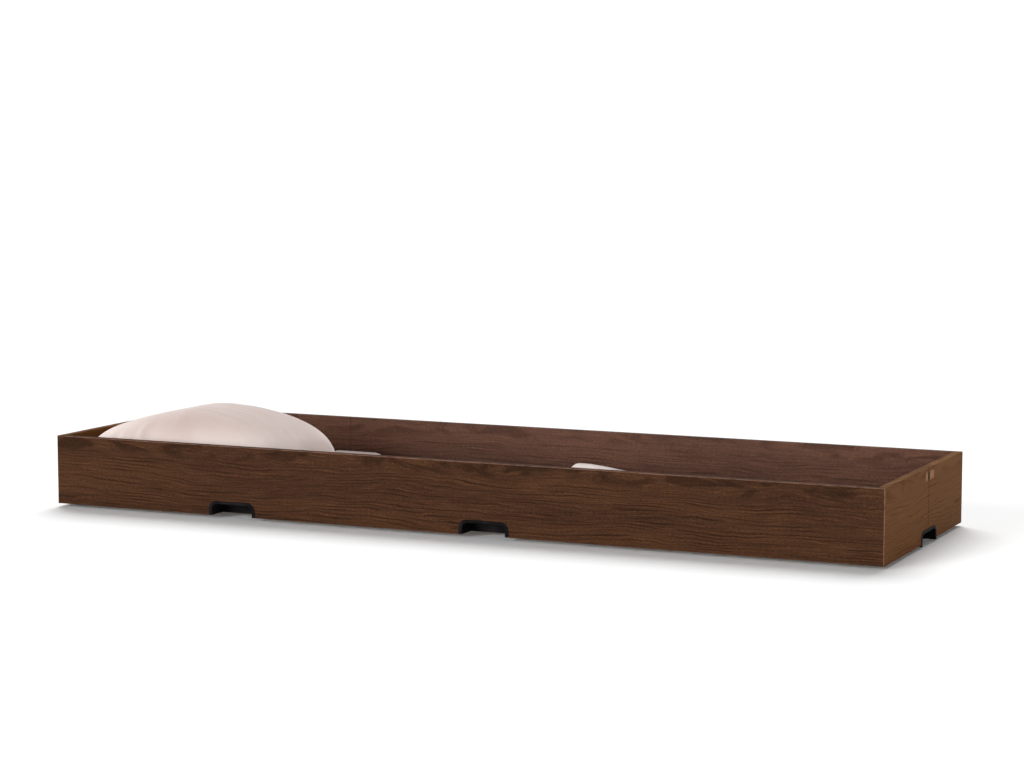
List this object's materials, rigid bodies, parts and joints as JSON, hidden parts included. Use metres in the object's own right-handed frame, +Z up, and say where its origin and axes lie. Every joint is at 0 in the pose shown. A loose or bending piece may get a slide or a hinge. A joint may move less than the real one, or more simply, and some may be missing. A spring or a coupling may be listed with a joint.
{
  "type": "trundle bed",
  "caption": "Low under-bed trundle tray in walnut-look board with recessed black finger pulls, hidden swivel casters, slats, a thin mattress pad and a pillow.",
  "frame": {"origin": "on the floor, under the middle of the bed", "axes": "+X towards the right end, +Y towards the back, +Z up"},
  "size_m": [2.0024, 0.6112, 0.2266],
  "materials": {
    "walnut_foil": "satin walnut-look foil on board",
    "black_plastic": "fine-grained black moulding",
    "tan_plate": "tan enamel",
    "dark_steel": "dark enamel",
    "zinc_steel": "bright zinc plate",
    "pine": "planed softwood",
    "nylon": "dark grey nylon",
    "pad_fabric": "plain woven cotton, pinkish white",
    "pillow_fabric": "plain woven cotton, pinkish beige"
  },
  "bodies": {
    "frame": {"back_ledger": "pine", "back_panel": "walnut_foil", "caster_back_left_plate": "zinc_steel", "caster_back_right_plate": "zinc_steel", "caster_block_back_left": "pine", "caster_block_back_right": "pine", "caster_block_front_left": "pine", "caster_block_front_right": "pine", "caster_front_left_plate": "zinc_steel", "caster_front_right_plate": "zinc_steel", "caster_screws": "zinc_steel", "front_ledger": "pine", "front_left_pull_cup": "black_plastic", "front_panel": "walnut_foil", "front_right_pull_cup": "black_plastic", "ledger_screws": "zinc_steel", "left_end_front_board": "walnut_foil", "left_end_front_joining_plate": "tan_plate", "left_end_joining_link": "dark_steel", "left_end_pull_cup": "black_plastic", "left_end_rear_board": "walnut_foil", "left_end_rear_joining_plate": "tan_plate", "left_end_splice_plate": "zinc_steel", "right_end_front_board": "walnut_foil", "right_end_front_joining_plate": "tan_plate", "right_end_joining_link": "dark_steel", "right_end_pull_cup": "black_plastic", "right_end_rear_board": "walnut_foil", "right_end_rear_joining_plate": "tan_plate", "right_end_splice_plate": "zinc_steel", "slat_01": "pine", "slat_02": "pine", "slat_03": "pine", "slat_04": "pine", "slat_05": "pine", "slat_06": "pine", "slat_07": "pine", "slat_08": "pine", "slat_09": "pine", "slat_10": "pine", "slat_11": "pine", "slat_12": "pine", "slat_13": "pine", "slat_14": "pine", "slat_screws": "zinc_steel", "small_screws": "zinc_steel"},
    "caster_front_left_swivel": {"caster_front_left_fork": "zinc_steel", "caster_front_left_axle": "zinc_steel"},
    "caster_front_left_wheel": {"caster_front_left_wheel": "nylon"},
    "caster_front_right_swivel": {"caster_front_right_fork": "zinc_steel", "caster_front_right_axle": "zinc_steel"},
    "caster_front_right_wheel": {"caster_front_right_wheel": "nylon"},
    "caster_back_left_swivel": {"caster_back_left_fork": "zinc_steel", "caster_back_left_axle": "zinc_steel"},
    "caster_back_left_wheel": {"caster_back_left_wheel": "nylon"},
    "caster_back_right_swivel": {"caster_back_right_fork": "zinc_steel", "caster_back_right_axle": "zinc_steel"},
    "caster_back_right_wheel": {"caster_back_right_wheel": "nylon"},
    "mattress_pad": {"mattress_pad": "pad_fabric"},
    "pillow": {"pillow": "pillow_fabric"}
  },
  "joints": [
    {"name": "caster_front_left_turn", "type": "hinge", "parent": "frame", "child": "caster_front_left_swivel", "pos_m": [-0.948, -0.237, 0.04], "axis": [0, 0, 1], "continuous": true},
    {"name": "caster_front_left_roll", "type": "hinge", "parent": "caster_front_left_swivel", "child": "caster_front_left_wheel", "pos_m": [-0.96, -0.237, 0.015], "axis": [0, 1, 0], "continuous": true},
    {"name": "caster_front_right_turn", "type": "hinge", "parent": "frame", "child": "caster_front_right_swivel", "pos_m": [0.948, -0.237, 0.04], "axis": [0, 0, 1], "continuous": true},
    {"name": "caster_front_right_roll", "type": "hinge", "parent": "caster_front_right_swivel", "child": "caster_front_right_wheel", "pos_m": [0.936, -0.237, 0.015], "axis": [0, 1, 0], "continuous": true},
    {"name": "caster_back_left_turn", "type": "hinge", "parent": "frame", "child": "caster_back_left_swivel", "pos_m": [-0.948, 0.237, 0.04], "axis": [0, 0, 1], "continuous": true},
    {"name": "caster_back_left_roll", "type": "hinge", "parent": "caster_back_left_swivel", "child": "caster_back_left_wheel", "pos_m": [-0.96, 0.237, 0.015], "axis": [0, 1, 0], "continuous": true},
    {"name": "caster_back_right_turn", "type": "hinge", "parent": "frame", "child": "caster_back_right_swivel", "pos_m": [0.948, 0.237, 0.04], "axis": [0, 0, 1], "continuous": true},
    {"name": "caster_back_right_roll", "type": "hinge", "parent": "caster_back_right_swivel", "child": "caster_back_right_wheel", "pos_m": [0.936, 0.237, 0.015], "axis": [0, 1, 0], "continuous": true},
    {"name": "mattress_pad_lift", "type": "slide", "parent": "frame", "child": "mattress_pad", "axis": [0, 0, 1], "range_m": [0, 0.3]},
    {"name": "pillow_lift", "type": "slide", "parent": "mattress_pad", "child": "pillow", "axis": [0, 0, 1], "range_m": [0, 0.3]}
  ]
}
